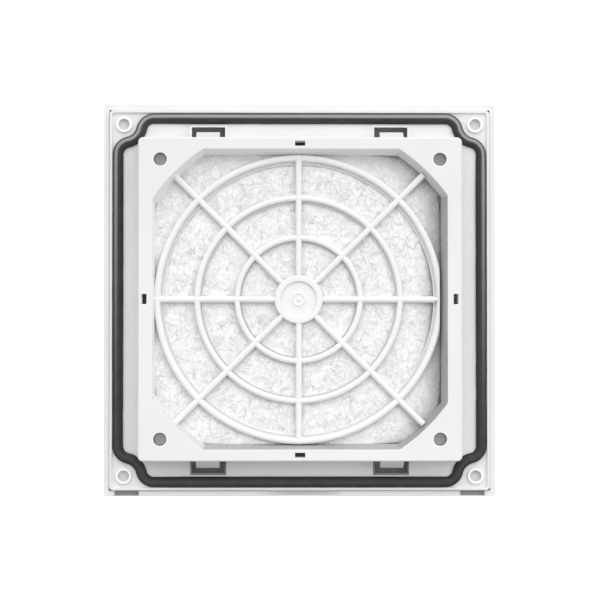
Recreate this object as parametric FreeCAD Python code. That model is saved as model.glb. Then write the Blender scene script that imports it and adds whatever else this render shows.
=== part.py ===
import FreeCAD, Part
import math
import os

# Exit filter for a square cut-out in an enclosure panel, in millimetres.
# X runs across, Z is up and Y points back into the enclosure. The origin is the centre of the
# plane where the flange's rim seats on the panel's outer face. The louvred cover faces -Y.

# Panel and flange
panel_cutout = 124.0          # square hole that the box passes through
cutout_gap = 1.35             # between the box and each side of the cut-out
flange_lap = 9.95             # how far the flange reaches past each side of the cut-out
flange_thickness = 3.0        # rim face to front face
flange_corner_r = 1.5
rim_width = 0.95
rim_height = 0.9              # rim above the flange's floor

# Box and rear plate
box_height = 13.0             # rear plate's face behind the panel seat
box_wall = 1.7
box_corner_r = 1.9
plate_thickness = 2.2
plate_edge_r = 0.5

# Fan screw holes. The inset puts them on the 104.8 mm pattern of a 120 mm fan.
fan_inset = 8.25
fan_hole_d = 5.04
fan_hole_depth = 6.0
fan_boss_d = 8.6
fan_boss_floor = 1.0

# Opening in the rear plate: a rectangle cut off at its corners by a circle, with drafted walls
plate_side = 5.35             # rear plate's width beside the opening
plate_end = 4.35              # and above and below it
screw_land = 6.9              # from the middle of a fan hole to the opening's corner
corner_shift = -0.45          # the middle of the corners' circle along X
opening_depth = 7.0
collar_wall = 1.2
draft_plus_x = 0.95           # how far each wall leans in over the opening's depth
draft_minus_x = 2.2
draft_z = 2.0
draft_corner = 1.9

# Finger guard, held by the walls of the opening. It sits a little to the +X side and stops short
# of the wall on the -X side. It is one moulding with the frame, drawn as a piece of its own.
guard_shift = 0.5
guard_gap = 2.8               # from the opening's edge on the -X side to the guard's end
guard_recess = 4.0            # guard's top below the rear plate's face
guard_height = 3.0
spoke_count = 8
spoke_width = 2.3
spoke_crown_r = 1.05
ring_inset = 2.2              # outer ring's middle inside the opening's half width
ring_pitch = 15.0
ring_widths = (2.3, 2.3, 2.5)
ring_feet = (0.45, 0.75, 1.1) # how far each ring's foot reaches inwards
ring_foot_height = 0.8
hub_d = 18.4
hub_recess_d = 13.4
hub_recess = 0.9
hub_edge_r = 0.6
gate_ring_d = 4.6
gate_ring_width = 0.5
gate_ring_height = 0.25
gate_dot_d = 1.5

# Screw dimples in the flange's corners, drilled out only where the unit is screwed on
screw_inset = 5.35            # from the flange's edge
dimple_d = 4.2
dimple_depth = 1.8
dimple_ring_d = 6.1

# Snap tongues that hold the box in the cut-out, two at the top and two at the bottom
tongue_pitch = 69.2
tongue_width = 8.8
tongue_slot = 1.9
tongue_root = 3.0             # top of the tongue's slots below the rear plate's face
panel_max = 2.0               # thickest panel that the tongues reach behind
tongue_reach = 2.7
tongue_lip = 1.2
window_outer = 4.95           # window's outer edge beyond the box

# Ledges inside the box that hold the cover's arms, and the slots in the rear plate over them
ledge_width = 3.8
ledge_reach = 1.5
ledge_low = -1.0
ledge_high = 1.0
slot_relief = 0.3             # how far each slot cuts into the box's wall

# Gasket
gasket_width = 4.1
gasket_height = 2.1
gasket_gap = 0.15             # between the gasket and the rim
gasket_turn_r = 4.8
gasket_boss_r = 6.93          # centre line's radius round each screw dimple
gasket_foot = 0.5             # straight sides below the half-round top

# Filter mat, cut short on the -X side
mat_side_gap = 0.3            # between the mat and the cover's arms
mat_short = 1.4               # how much is missing on the -X side
mat_front = -4.2
mat_rear_gap = 0.25           # between the mat and the guard
mat_corner_r = 14.0

# Front cover
cover_gap = 0.15              # between the flange's edge and the cover's wall
cover_depth = 15.4            # rear edge to front face
cover_lap = 1.4               # how far the cover reaches past the flange's front face
cover_wall = 2.15
cover_front = 2.0
cover_corner_r = 0.8
cover_edge_r = 1.8
window_inset = 0.8            # louvre window's edge inside the mat's
louvre_wall = 2.0
louvre_depth = 6.5
louvre_pitch = 8.3
louvre_thickness = 2.2
louvre_rise = 6.6
rib_offset = 30.0
rib_width = 1.6
rib_gap = 0.3                 # between the cover's ribs and the mat
stop_width = 1.6
stop_offset = 45.0
arm_width = 3.4
arm_thickness = 1.25
arm_clearance = 0.2           # between each arm's hook and its ledge
hook_reach = 0.9
hook_low_gap = 0.3
hook_length = 2.4
scoop_width = 31.0
scoop_depth = 3.2
drain_width = 9.2
drain_inset = 6.6             # from the inside of the cover's side wall
drain_depth = 2.6

# Sizes that follow from the ones above
box_half = panel_cutout / 2 - cutout_gap
box_inner = box_half - box_wall
flange_half = panel_cutout / 2 + flange_lap
flange_front = -flange_thickness
floor_y = -rim_height
screw_half = flange_half - screw_inset
gasket_half = flange_half - rim_width - gasket_gap - gasket_width / 2
fan_half = box_half - fan_inset
opening_half_width = box_half - plate_side
opening_half_height = box_half - plate_end
opening_corner_r = fan_half * math.sqrt(2) - screw_land
collar_end = box_height - opening_depth
guard_top = box_height - guard_recess
guard_low = guard_top - guard_height
guard_end = guard_gap - opening_half_width
outer_ring_r = opening_half_width - ring_inset
hook_tip = box_inner - ledge_reach - arm_clearance
arm_outer = hook_tip - hook_reach
arm_inner = arm_outer - arm_thickness
mat_half = arm_inner - mat_side_gap
mat_rear = min(collar_end, guard_low) - mat_rear_gap
cover_half = flange_half + cover_gap + cover_wall
cover_inside = cover_half - cover_wall
cover_rear = flange_front + cover_lap
cover_face = cover_rear - cover_depth
cover_back = cover_face + cover_front
window_half = mat_half - window_inset
drain_offset = cover_inside - drain_inset
overshoot = 1.0               # how far a cutting tool runs past the face it opens


def vec(x, y, z):
    return FreeCAD.Vector(x, y, z)


def block(x0, x1, y0, y1, z0, z1):
    return Part.makeBox(x1 - x0, y1 - y0, z1 - z0, vec(x0, y0, z0))


def rod(x, z, radius, y0, y1):
    return Part.makeCylinder(radius, y1 - y0, vec(x, y0, z), vec(0, 1, 0))


def arc(start, middle, end):
    return Part.Arc(vec(*start), vec(*middle), vec(*end)).toShape()


def line(start, end):
    return Part.LineSegment(vec(*start), vec(*end)).toShape()


def slab(wire, height):
    return Part.Face(wire).extrude(vec(0, height, 0))


def rounded_slab(half_x, half_z, radius, y0, y1):
    # A plate with four rounded corners, from y0 to y1.
    edges = []
    flat_x = half_x - radius
    flat_z = half_z - radius
    points = []
    for turn in range(4):
        centre_x = flat_x if turn in (0, 3) else -flat_x
        centre_z = flat_z if turn in (0, 1) else -flat_z
        corner = []
        for step in range(3):
            angle = math.radians(90 * turn + 45 * step)
            corner.append((centre_x + radius * math.cos(angle), y0, centre_z + radius * math.sin(angle)))
        points.append(corner)
    for turn in range(4):
        corner = points[turn]
        edges.append(arc(*corner))
        edges.append(line(corner[2], points[(turn + 1) % 4][0]))
    return slab(Part.Wire(edges), y1 - y0)


def clipped_outline(y, low_x, high_x, half_z, radius):
    # A rectangle whose corners are cut off by a circle about its middle, or close to it.
    def at(angle):
        return (corner_shift + radius * math.cos(angle), y, radius * math.sin(angle))

    right_low = math.acos((high_x - corner_shift) / radius)
    right_high = math.asin(half_z / radius)
    left_high = math.acos((corner_shift - low_x) / radius)
    spans = [
        (right_low, right_high),
        (math.pi - right_high, math.pi - left_high),
        (math.pi + left_high, math.pi + right_high),
        (2 * math.pi - right_high, 2 * math.pi - right_low),
    ]
    edges = []
    for index, (start, end) in enumerate(spans):
        edges.append(arc(at(start), at((start + end) / 2), at(end)))
        edges.append(line(at(end), at(spans[(index + 1) % 4][0])))
    return Part.Wire(edges)


def opening_cut():
    # The drafted hole, run on past both of its ends along the same slopes.
    def outline(y):
        depth = (box_height - y) / opening_depth
        return clipped_outline(
            y,
            -opening_half_width + draft_minus_x * depth,
            opening_half_width - draft_plus_x * depth,
            opening_half_height - draft_z * depth,
            opening_corner_r - draft_corner * depth,
        )

    ends = [outline(box_height + overshoot), outline(collar_end - overshoot)]
    return Part.makeLoft(ends, True, True)


def collar():
    outline = clipped_outline(
        collar_end,
        -opening_half_width - collar_wall,
        opening_half_width + collar_wall,
        opening_half_height + collar_wall,
        opening_corner_r + collar_wall,
    )
    return slab(outline, box_height - collar_end)


def crowned_profile(middle, width, low, high, radius):
    # Outline of a bar's section in the X-Y plane, with its two upper corners rounded.
    left = middle - width / 2
    right = middle + width / 2
    shift = radius * (1 - math.sqrt(0.5))
    edges = [
        line((left, low, 0), (right, low, 0)),
        line((right, low, 0), (right, high - radius, 0)),
        arc((right, high - radius, 0), (right - shift, high - shift, 0), (right - radius, high, 0)),
        line((right - radius, high, 0), (left + radius, high, 0)),
        arc((left + radius, high, 0), (left + shift, high - shift, 0), (left, high - radius, 0)),
        line((left, high - radius, 0), (left, low, 0)),
    ]
    return Part.Face(Part.Wire(edges))


def spoke(angle):
    # One spoke from the middle into the wall of the opening, along the given angle.
    diagonal = angle % 90 > 1
    upright = angle % 180 < 1
    length = opening_corner_r if diagonal else opening_half_height if upright else opening_half_width
    bar = crowned_profile(0, spoke_width, guard_low, guard_top, spoke_crown_r).extrude(vec(0, 0, length))
    bar.rotate(vec(0, 0, 0), vec(0, 1, 0), angle)
    return bar


def guard_ring(radius, width, foot):
    # Rounded on top, with a foot that slopes out on its inner side.
    crown = width * 0.42
    shift = crown * (1 - math.sqrt(0.5))
    outer = radius + width / 2
    inner = radius - width / 2
    top = guard_top
    shoulder = guard_low + ring_foot_height
    edges = [
        line((inner - foot, guard_low, 0), (outer, guard_low, 0)),
        line((outer, guard_low, 0), (outer, top - crown, 0)),
        arc((outer, top - crown, 0), (outer - shift, top - shift, 0), (outer - crown, top, 0)),
        line((outer - crown, top, 0), (inner + crown, top, 0)),
        arc((inner + crown, top, 0), (inner + shift, top - shift, 0), (inner, top - crown, 0)),
        line((inner, top - crown, 0), (inner - foot, shoulder, 0)),
        line((inner - foot, shoulder, 0), (inner - foot, guard_low, 0)),
    ]
    return Part.Face(Part.Wire(edges)).revolve(vec(0, 0, 0), vec(0, 1, 0), 360)


def hub():
    disc = rod(0, 0, hub_d / 2, guard_low, guard_top)
    top_edges = [e for e in disc.Edges if abs(e.BoundBox.YMin - guard_top) < 0.01 and len(e.Vertexes) == 1]
    disc = disc.makeFillet(hub_edge_r, top_edges)
    floor = guard_top - hub_recess
    disc = disc.cut(rod(0, 0, hub_recess_d / 2, floor, guard_top + overshoot))
    ring = rod(0, 0, gate_ring_d / 2, floor - gate_ring_height, floor + gate_ring_height)
    ring = ring.cut(rod(0, 0, gate_ring_d / 2 - gate_ring_width, floor, guard_top))
    dot = rod(0, 0, gate_dot_d / 2, floor - gate_ring_height, floor + gate_ring_height)
    return disc.fuse([ring, dot])


def finger_guard():
    pieces = []
    for index, (width, foot) in enumerate(zip(ring_widths, ring_feet)):
        radius = outer_ring_r - ring_pitch * (len(ring_widths) - 1 - index)
        pieces.append(guard_ring(radius, width, foot))
    centre = rod(0, 0, hub_recess_d / 2, guard_low - overshoot, guard_top + overshoot)
    pieces += [spoke(360.0 / spoke_count * index).cut(centre) for index in range(spoke_count)]
    shape = hub().fuse(pieces)
    shape.translate(vec(guard_shift, 0, 0))
    beyond = block(
        guard_end - 2 * opening_half_width, guard_end, guard_low - overshoot, box_height,
        -opening_half_height / 2, opening_half_height / 2,
    )
    return shape.cut(beyond).common(opening_cut())


def four_corners(offset):
    return [(sx * offset, sz * offset) for sx in (-1, 1) for sz in (-1, 1)]


def quarter_turns(shape):
    copies = []
    for index in range(4):
        copy = shape.copy()
        copy.rotate(vec(0, 0, 0), vec(0, 1, 0), 90 * index)
        copies.append(copy)
    return copies


def box_shell():
    outer = rounded_slab(box_half, box_half, box_corner_r, flange_front, box_height)
    top_edges = [e for e in outer.Edges if e.BoundBox.YMin > box_height - 0.01]
    outer = outer.makeFillet(plate_edge_r, top_edges)
    inner = block(
        -box_inner, box_inner, flange_front - overshoot, box_height - plate_thickness, -box_inner, box_inner
    )
    return outer.cut(inner)


def flange():
    plate = rounded_slab(flange_half, flange_half, flange_corner_r, flange_front, 0)
    floor_half = flange_half - rim_width
    pocket = rounded_slab(floor_half, floor_half, flange_corner_r - rim_width / 2, floor_y, overshoot)
    plate = plate.cut(pocket)
    rings = [rod(x, z, dimple_ring_d / 2, floor_y, 0) for x, z in four_corners(screw_half)]
    plate = plate.fuse(rings)
    hole = block(-box_inner, box_inner, flange_front - overshoot, overshoot, -box_inner, box_inner)
    dimples = [rod(x, z, dimple_d / 2, -dimple_depth, overshoot) for x, z in four_corners(screw_half)]
    return plate.cut([hole] + dimples)


def tongue_window(side, upper):
    # Window in the flange and the two slots that free a tongue from the box's wall.
    centre = side * tongue_pitch / 2
    half = tongue_width / 2 + tongue_slot
    inner = box_inner - overshoot / 2
    window = block(
        centre - half, centre + half, flange_front - overshoot, panel_max, inner, box_half + window_outer
    )
    slot_top = box_height - tongue_root
    cuts = [window]
    for edge in (-1, 1):
        start = centre + edge * tongue_width / 2
        end = centre + edge * half
        cuts.append(block(min(start, end), max(start, end), 0, slot_top, inner, box_half + overshoot))
    tool = cuts[0].fuse(cuts[1:])
    if not upper:
        tool.rotate(vec(0, 0, 0), vec(0, 1, 0), 180)
    return tool


def tongue_wedge(side, upper):
    # The ramp on a tongue: it rises towards the panel and ends in a flat catch.
    root = box_height - tongue_root
    outer = box_half + tongue_reach
    corners = [
        (0, root, box_half - box_wall / 2),
        (0, root, box_half),
        (0, panel_max + tongue_lip, outer),
        (0, panel_max, outer),
        (0, panel_max, box_half - box_wall / 2),
    ]
    edges = [line(corners[i], corners[(i + 1) % len(corners)]) for i in range(len(corners))]
    wedge = Part.Face(Part.Wire(edges)).extrude(vec(tongue_width, 0, 0))
    wedge.translate(vec(side * tongue_pitch / 2 - tongue_width / 2, 0, 0))
    if not upper:
        wedge.rotate(vec(0, 0, 0), vec(0, 1, 0), 180)
    return wedge


def base_frame():
    half_ledge = ledge_width / 2
    ledge_inner = box_inner - ledge_reach
    ledge = block(-half_ledge, half_ledge, ledge_low, ledge_high, ledge_inner, box_inner + box_wall / 2)
    slot = block(
        -half_ledge, half_ledge, box_height - plate_thickness - overshoot, box_height + overshoot,
        ledge_inner, box_inner + slot_relief,
    )
    boss_low = box_height - fan_hole_depth - fan_boss_floor
    bosses = [
        rod(x, z, fan_boss_d / 2, boss_low, box_height - plate_thickness / 2)
        for x, z in four_corners(fan_half)
    ]
    holes = [
        rod(x, z, fan_hole_d / 2, box_height - fan_hole_depth, box_height + overshoot)
        for x, z in four_corners(fan_half)
    ]
    sides = [(side, upper) for side in (-1, 1) for upper in (True, False)]
    shell = box_shell().fuse([flange(), collar()] + bosses)
    shell = shell.cut([opening_cut()] + holes)
    shell = shell.cut([tongue_window(side, upper) for side, upper in sides])
    shell = shell.cut(quarter_turns(slot))
    wedges = [tongue_wedge(side, upper) for side, upper in sides]
    return shell.fuse(wedges + quarter_turns(ledge)).removeSplitter()


def gasket_route():
    # Centre line in the X-Z plane. At each corner it leaves the straight by one arc, passes
    # inside the screw dimple on an arc about it, and returns by the mirror of the first arc.
    boss = screw_half
    cos_turn = (gasket_turn_r - (gasket_half - boss)) / (gasket_turn_r + gasket_boss_r)
    turn = math.acos(cos_turn)
    join_x = boss - gasket_boss_r * math.sin(turn)
    join_z = boss - gasket_boss_r * cos_turn
    start_x = join_x - gasket_turn_r * math.sin(turn)
    centre_z = gasket_half - gasket_turn_r
    first_mid = (start_x + gasket_turn_r * math.sin(turn / 2), 0, centre_z + gasket_turn_r * math.cos(turn / 2))
    boss_mid = boss - gasket_boss_r * math.sqrt(0.5)
    corner = [
        arc((start_x, 0, gasket_half), first_mid, (join_x, 0, join_z)),
        arc((join_x, 0, join_z), (boss_mid, 0, boss_mid), (join_z, 0, join_x)),
        arc((join_z, 0, join_x), (first_mid[2], 0, first_mid[0]), (gasket_half, 0, start_x)),
        line((gasket_half, 0, start_x), (gasket_half, 0, -start_x)),
    ]
    edges = []
    for index in range(4):
        for edge in corner:
            copy = edge.copy()
            copy.rotate(vec(0, 0, 0), vec(0, 1, 0), 90 * index)
            edges.append(copy)
    return Part.Wire(edges), start_x


def gasket():
    route, start_x = gasket_route()
    half = gasket_width / 2
    low = floor_y
    shoulder = floor_y + gasket_foot
    top = floor_y + gasket_height
    z = gasket_half
    shoulder_bulge = shoulder + (top - shoulder) * math.sqrt(0.5)
    bulge = half * math.sqrt(0.5)
    side_out = Part.BSplineCurve()
    side_out.interpolate([
        vec(start_x, shoulder, z + half), vec(start_x, shoulder_bulge, z + bulge), vec(start_x, top, z),
        vec(start_x, shoulder_bulge, z - bulge), vec(start_x, shoulder, z - half),
    ])
    profile = Part.Wire([
        line((start_x, low, z - half), (start_x, low, z + half)),
        line((start_x, low, z + half), (start_x, shoulder, z + half)),
        side_out.toShape(),
        line((start_x, shoulder, z - half), (start_x, low, z - half)),
    ])
    return route.makePipeShell([profile], True, True)


def filter_mat():
    half_width = mat_half - mat_short / 2
    mat = rounded_slab(half_width, mat_half, mat_corner_r, mat_front, mat_rear)
    mat.translate(vec(mat_short / 2, 0, 0))
    return mat


def louvre(middle):
    # One slat: its front edge is low and rounded, and it rises towards the back.
    nose = louvre_thickness / 2
    back = cover_face + louvre_depth
    corners = [
        (0, cover_face + nose, middle - louvre_rise / 2 - nose),
        (0, back, middle + louvre_rise / 2 - nose),
        (0, back, middle + louvre_rise / 2 + nose),
        (0, cover_face + nose, middle - louvre_rise / 2 + nose),
    ]
    edges = [line(corners[i], corners[i + 1]) for i in range(3)]
    edges.append(arc(corners[3], (0, cover_face, middle - louvre_rise / 2), corners[0]))
    half = window_half + louvre_wall / 2
    slat = Part.Face(Part.Wire(edges)).extrude(vec(2 * half, 0, 0))
    slat.translate(vec(-half, 0, 0))
    return slat


def louvres():
    count = int(2 * window_half / louvre_pitch)
    first = -(count - 1) / 2 * louvre_pitch
    inside = window_half + louvre_wall / 2
    bounds = block(-inside, inside, cover_face, cover_face + louvre_depth, -inside, inside)
    return [louvre(first + louvre_pitch * index).common(bounds) for index in range(count)]


def snap_arm():
    # One of the cover's arms, drawn sprung inwards so that its hook just clears the ledge.
    hook_low = ledge_high + hook_low_gap
    hook_top = hook_low + hook_length
    arm = block(-arm_width / 2, arm_width / 2, cover_back - cover_front / 2, hook_top, arm_inner, arm_outer)
    corners = [
        (0, hook_low, arm_outer - arm_thickness / 2),
        (0, hook_low, hook_tip),
        (0, hook_low + hook_length / 3, hook_tip),
        (0, hook_top, arm_outer - arm_thickness / 2),
    ]
    edges = [line(corners[i], corners[(i + 1) % len(corners)]) for i in range(len(corners))]
    hook = Part.Face(Part.Wire(edges)).extrude(vec(arm_width, 0, 0))
    hook.translate(vec(-arm_width / 2, 0, 0))
    return arm.fuse(hook)


def cover_cuts():
    # The finger scoop and the two drain notches in the rear edge of the bottom wall.
    low = -cover_half - overshoot
    high = -cover_half + cover_wall + overshoot / 2
    scoop_r = (scoop_width ** 2 / 4 + scoop_depth ** 2) / (2 * scoop_depth)
    centre_y = cover_rear - scoop_depth + scoop_r
    scoop = Part.makeCylinder(scoop_r, high - low, vec(0, centre_y, low), vec(0, 0, 1))
    notches = []
    for side in (-1, 1):
        middle = side * drain_offset
        notches.append(block(
            middle - drain_width / 2, middle + drain_width / 2,
            cover_rear - drain_depth, cover_rear + overshoot, low, high,
        ))
    return [scoop] + notches


def front_cover():
    shell = rounded_slab(cover_half, cover_half, cover_corner_r, cover_face, cover_rear)
    front_edges = [e for e in shell.Edges if e.BoundBox.YMax < cover_face + 0.01]
    shell = shell.makeFillet(cover_edge_r, front_edges)
    shell = shell.cut(block(-cover_inside, cover_inside, cover_back, cover_rear + overshoot, -cover_inside, cover_inside))
    wall_half = window_half + louvre_wall
    louvre_back = cover_face + louvre_depth
    shell = shell.fuse(block(-wall_half, wall_half, cover_face, louvre_back, -wall_half, wall_half))
    shell = shell.cut(block(
        -window_half, window_half, cover_face - overshoot, cover_rear, -window_half, window_half
    ))
    ribs = []
    for side in (-1, 1):
        middle = side * rib_offset
        ribs.append(block(
            middle - rib_width / 2, middle + rib_width / 2, cover_face + cover_front, mat_front - rib_gap,
            -window_half - louvre_wall / 2, window_half + louvre_wall / 2,
        ))
    stops = []
    for side in (-1, 1):
        for height in (-stop_offset, stop_offset):
            edge = side * cover_inside
            stops.append(block(
                min(edge, edge - side * stop_width), max(edge, edge - side * stop_width),
                cover_back - cover_front / 2, flange_front, height - stop_width / 2, height + stop_width / 2,
            ))
    shell = shell.fuse(ribs + stops + louvres() + quarter_turns(snap_arm()))
    return shell.cut(cover_cuts()).removeSplitter()


def main():
    os.makedirs("parts", exist_ok=True)
    nodes = {
        "base_frame": base_frame,
        "finger_guard": finger_guard,
        "gasket": gasket,
        "filter_mat": filter_mat,
        "front_cover": front_cover,
    }
    for name, make in nodes.items():
        shape = make()
        if shape.ShapeType == "Compound" and len(shape.Solids) == 1:
            shape = shape.Solids[0]
        shape.exportStep("parts/" + name + ".step")
        box = shape.BoundBox
        print(
            name, len(shape.Solids), "solid", shape.isValid(), round(shape.Volume, 1), "mm3",
            [round(v, 2) for v in (box.XMin, box.XMax, box.YMin, box.YMax, box.ZMin, box.ZMax)],
        )


main()
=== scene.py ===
import math
import bpy
import numpy as np
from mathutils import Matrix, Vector


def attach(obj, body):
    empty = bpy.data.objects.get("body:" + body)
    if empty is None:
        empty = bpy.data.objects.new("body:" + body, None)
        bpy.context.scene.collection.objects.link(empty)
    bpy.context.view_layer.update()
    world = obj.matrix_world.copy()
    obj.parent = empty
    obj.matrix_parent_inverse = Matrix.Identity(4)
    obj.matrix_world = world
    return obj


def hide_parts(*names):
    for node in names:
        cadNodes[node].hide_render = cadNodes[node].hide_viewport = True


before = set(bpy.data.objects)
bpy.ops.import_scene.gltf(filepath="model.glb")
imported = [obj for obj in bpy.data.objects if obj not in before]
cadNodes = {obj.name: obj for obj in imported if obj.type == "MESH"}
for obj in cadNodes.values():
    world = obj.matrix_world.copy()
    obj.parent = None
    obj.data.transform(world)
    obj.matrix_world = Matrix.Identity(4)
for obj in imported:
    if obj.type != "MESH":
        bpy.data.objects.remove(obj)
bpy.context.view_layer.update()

# Enclosure exit filter, seen from inside the enclosure. Lengths in the dictionaries are millimetres.
# X runs across, Z is up and Y points from the cover to the rear plate.

mm = 0.001


# Mesh building

def gridPart(points, closedRows=False, closedColumns=False, flip=False):
    # A grid of points, rows by columns by 3, with a four-sided face between neighbours.
    rows, columns = points.shape[:2]
    index = np.arange(rows * columns).reshape(rows, columns)
    if closedRows:
        index = np.vstack([index, index[:1]])
    if closedColumns:
        index = np.hstack([index, index[:, :1]])
    corners = [index[:-1, :-1], index[:-1, 1:], index[1:, 1:], index[1:, :-1]]
    faces = np.stack(corners, axis=-1).reshape(-1, 4)
    if flip:
        faces = faces[:, ::-1]
    return points.reshape(-1, 3), faces


def meshPiece(name, parts, material, sharpAngle=None, places=None):
    # One object from several grid parts, given in millimetres. Places are UV coordinates per vertex.
    vertices = np.concatenate([part[0] for part in parts]) * mm
    starts = np.cumsum([0] + [len(part[0]) for part in parts[:-1]])
    faces = np.concatenate([part[1] + start for part, start in zip(parts, starts)])
    mesh = bpy.data.meshes.new(name)
    mesh.vertices.add(len(vertices))
    mesh.vertices.foreach_set("co", vertices.astype(np.float32).ravel())
    mesh.loops.add(faces.size)
    mesh.loops.foreach_set("vertex_index", faces.astype(np.int32).ravel())
    mesh.polygons.add(len(faces))
    mesh.polygons.foreach_set("loop_start", np.arange(0, faces.size, faces.shape[1], dtype=np.int32))
    mesh.update(calc_edges=True)
    mesh.shade_smooth()
    if sharpAngle:
        mesh.set_sharp_from_angle(angle=math.radians(sharpAngle))
    if places is not None:
        layer = mesh.uv_layers.new(name="places")
        layer.uv.foreach_set("vector", places[faces.ravel()].astype(np.float32).ravel())
    mesh.materials.append(material)
    piece = bpy.data.objects.new(name, mesh)
    bpy.context.scene.collection.objects.link(piece)
    return piece


def waveField(x, z, seed, count, shortest, longest):
    # Sum of cosine waves with random directions and phases, wavelengths spread evenly on a log scale.
    # Each wave's height grows with the root of its length, and the sum is scaled to about -1..1.
    random = np.random.default_rng(seed)
    lengths = np.exp(random.uniform(np.log(shortest), np.log(longest), count))
    turns = random.uniform(0, 2 * np.pi, count)
    phases = random.uniform(0, 2 * np.pi, count)
    total = np.zeros_like(x)
    for length, turn, phase in zip(lengths, turns, phases):
        along = (x * np.cos(turn) + z * np.sin(turn)) * 2 * np.pi / length
        total = total + np.sqrt(length / longest) * np.cos(along + phase)
    return total / np.sqrt(np.sum(lengths / longest))


# Shader groups

def addNode(tree, kind, place, **settings):
    node = tree.nodes.new(kind)
    node.location = place
    for name, value in settings.items():
        setattr(node, name, value)
    return node


def newGroup(name, inputs, outputs):
    tree = bpy.data.node_groups.new(name, "ShaderNodeTree")
    for label, kind, value in inputs:
        socket = tree.interface.new_socket(name=label, in_out="INPUT", socket_type=kind)
        socket.default_value = value
    for label, kind in outputs:
        tree.interface.new_socket(name=label, in_out="OUTPUT", socket_type=kind)
    return tree, addNode(tree, "NodeGroupInput", (-900, 0)), addNode(tree, "NodeGroupOutput", (600, 0))


def placeGroup(tree, group, place, values):
    node = addNode(tree, "ShaderNodeGroup", place, node_tree=group)
    for label, value in values.items():
        node.inputs[label].default_value = value
    return node


def paintOver(tree, colour, tone, mask, place, blend="MIX"):
    # The colour with a tone laid over it where the mask is 1.
    mix = addNode(tree, "ShaderNodeMix", place, data_type="RGBA", blend_type=blend)
    mix.inputs["B"].default_value = tone
    tree.links.new(mask, mix.inputs["Factor"])
    tree.links.new(colour, mix.inputs["A"])
    return mix.outputs["Result"]


def makeSoftEdge():
    # Rounds the normals near an edge and gives a mask that is 1 on the edge itself.
    tree, inside, outside = newGroup(
        "softEdge",
        [("Radius", "NodeSocketFloat", 0.0002), ("Gain", "NodeSocketFloat", 4.0)],
        [("Normal", "NodeSocketVector"), ("Edge", "NodeSocketFloat")],
    )
    link = tree.links.new
    rounded = addNode(tree, "ShaderNodeBevel", (-600, 100), samples=6)
    plain = addNode(tree, "ShaderNodeNewGeometry", (-600, -150))
    agree = addNode(tree, "ShaderNodeVectorMath", (-350, -50), operation="DOT_PRODUCT")
    turned = addNode(tree, "ShaderNodeMath", (-150, -50), operation="SUBTRACT")
    turned.inputs[0].default_value = 1.0
    mask = addNode(tree, "ShaderNodeMath", (100, -50), operation="MULTIPLY", use_clamp=True)
    link(inside.outputs["Radius"], rounded.inputs["Radius"])
    link(rounded.outputs[0], agree.inputs[0])
    link(plain.outputs["Normal"], agree.inputs[1])
    link(agree.outputs["Value"], turned.inputs[1])
    link(turned.outputs[0], mask.inputs[0])
    link(inside.outputs["Gain"], mask.inputs[1])
    link(rounded.outputs[0], outside.inputs["Normal"])
    link(mask.outputs[0], outside.inputs["Edge"])
    return tree


def makeFineGrain():
    # Fine texture of the mould and the slow waviness of a moulded wall, as a height of about 0..1.
    tree, inside, outside = newGroup(
        "fineGrain",
        [
            ("Grain Scale", "NodeSocketFloat", 2500.0),
            ("Grain Share", "NodeSocketFloat", 0.4),
            ("Wave Scale", "NodeSocketFloat", 90.0),
        ],
        [("Height", "NodeSocketFloat"), ("Speckle", "NodeSocketFloat")],
    )
    link = tree.links.new
    where = addNode(tree, "ShaderNodeTexCoord", (-900, -250))
    fine = addNode(tree, "ShaderNodeTexNoise", (-600, 150))
    fine.inputs["Detail"].default_value = 3.0
    slow = addNode(tree, "ShaderNodeTexNoise", (-600, -150))
    slow.inputs["Detail"].default_value = 1.0
    blend = addNode(tree, "ShaderNodeMix", (-250, 0), data_type="FLOAT")
    link(where.outputs["Object"], fine.inputs["Vector"])
    link(where.outputs["Object"], slow.inputs["Vector"])
    link(inside.outputs["Grain Scale"], fine.inputs["Scale"])
    link(inside.outputs["Wave Scale"], slow.inputs["Scale"])
    link(inside.outputs["Grain Share"], blend.inputs["Factor"])
    link(slow.outputs["Fac"], blend.inputs["A"])
    link(fine.outputs["Fac"], blend.inputs["B"])
    link(blend.outputs["Result"], outside.inputs["Height"])
    link(fine.outputs["Fac"], outside.inputs["Speckle"])
    return tree


def makeCloudTone():
    # Two tones of one colour, mixed in soft clouds.
    tree, inside, outside = newGroup(
        "cloudTone",
        [
            ("Light Tone", "NodeSocketColor", (0.8, 0.8, 0.8, 1)),
            ("Dark Tone", "NodeSocketColor", (0.7, 0.7, 0.7, 1)),
            ("Cloud Scale", "NodeSocketFloat", 40.0),
            ("Low", "NodeSocketFloat", 0.35),
            ("High", "NodeSocketFloat", 0.65),
        ],
        [("Color", "NodeSocketColor"), ("Cloud", "NodeSocketFloat")],
    )
    link = tree.links.new
    where = addNode(tree, "ShaderNodeTexCoord", (-900, -250))
    cloud = addNode(tree, "ShaderNodeTexNoise", (-600, -50))
    cloud.inputs["Detail"].default_value = 4.0
    spread = addNode(tree, "ShaderNodeMapRange", (-350, -50))
    mix = addNode(tree, "ShaderNodeMix", (0, 0), data_type="RGBA")
    link(where.outputs["Object"], cloud.inputs["Vector"])
    link(inside.outputs["Cloud Scale"], cloud.inputs["Scale"])
    link(cloud.outputs["Fac"], spread.inputs["Value"])
    link(inside.outputs["Low"], spread.inputs["From Min"])
    link(inside.outputs["High"], spread.inputs["From Max"])
    link(spread.outputs["Result"], mix.inputs["Factor"])
    link(inside.outputs["Dark Tone"], mix.inputs["A"])
    link(inside.outputs["Light Tone"], mix.inputs["B"])
    link(mix.outputs["Result"], outside.inputs["Color"])
    link(spread.outputs["Result"], outside.inputs["Cloud"])
    return tree


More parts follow.
